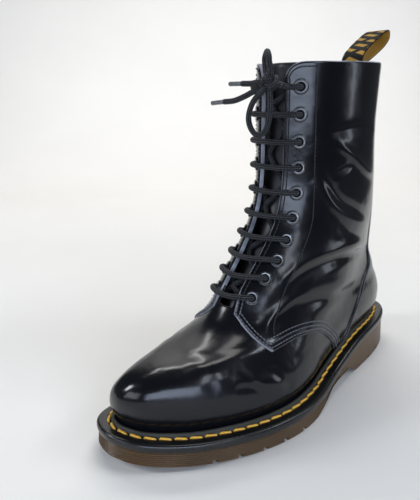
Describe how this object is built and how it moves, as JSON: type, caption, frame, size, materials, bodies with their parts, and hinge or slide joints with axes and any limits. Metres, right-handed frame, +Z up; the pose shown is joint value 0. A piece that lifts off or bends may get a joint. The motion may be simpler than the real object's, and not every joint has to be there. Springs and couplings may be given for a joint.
{
  "type": "combat boot",
  "caption": "Left lace-up combat boot: glossy black leather upper, stitched welt on a ribbed cushioned sole, metal eyelets, tied lace and pull loop at the heel.",
  "frame": {"origin": "on the floor under the middle of the sole's box", "axes": "+Z up, -Y towards the toe, +X towards the outer side of the foot"},
  "size_m": [0.1099, 0.305, 0.2798],
  "materials": {
    "upper": "polished smooth black",
    "tongue": "smooth black",
    "lining": "matte dark",
    "outsole": "smoked translucent brown",
    "welt": "glossy black",
    "eyelet": "black enamel",
    "lace": "round braid",
    "lace_tip": "clear over braid",
    "webbing": "woven, tan inside"
  },
  "bodies": {
    "root": {"outsole": "outsole", "welt": "welt", "insole": "lining", "upper": "upper", "tongue": "tongue", "eyelet_outer_01": "eyelet", "eyelet_inner_01": "eyelet", "eyelet_outer_02": "eyelet", "eyelet_inner_02": "eyelet", "eyelet_outer_03": "eyelet", "eyelet_inner_03": "eyelet", "eyelet_outer_04": "eyelet", "eyelet_inner_04": "eyelet", "eyelet_outer_05": "eyelet", "eyelet_inner_05": "eyelet", "eyelet_outer_06": "eyelet", "eyelet_inner_06": "eyelet", "eyelet_outer_07": "eyelet", "eyelet_inner_07": "eyelet", "eyelet_outer_08": "eyelet", "eyelet_inner_08": "eyelet", "eyelet_outer_09": "eyelet", "eyelet_inner_09": "eyelet", "eyelet_outer_10": "eyelet", "eyelet_inner_10": "eyelet", "lace": "lace", "heel_loop": "webbing", "lace_loop_up": "lace", "lace_loop_hanging": "lace", "lace_end_short": "lace", "lace_end_long": "lace", "lace_tip_short": "lace_tip", "lace_tip_long": "lace_tip", "lace_knot": "lace"}
  },
  "joints": []
}
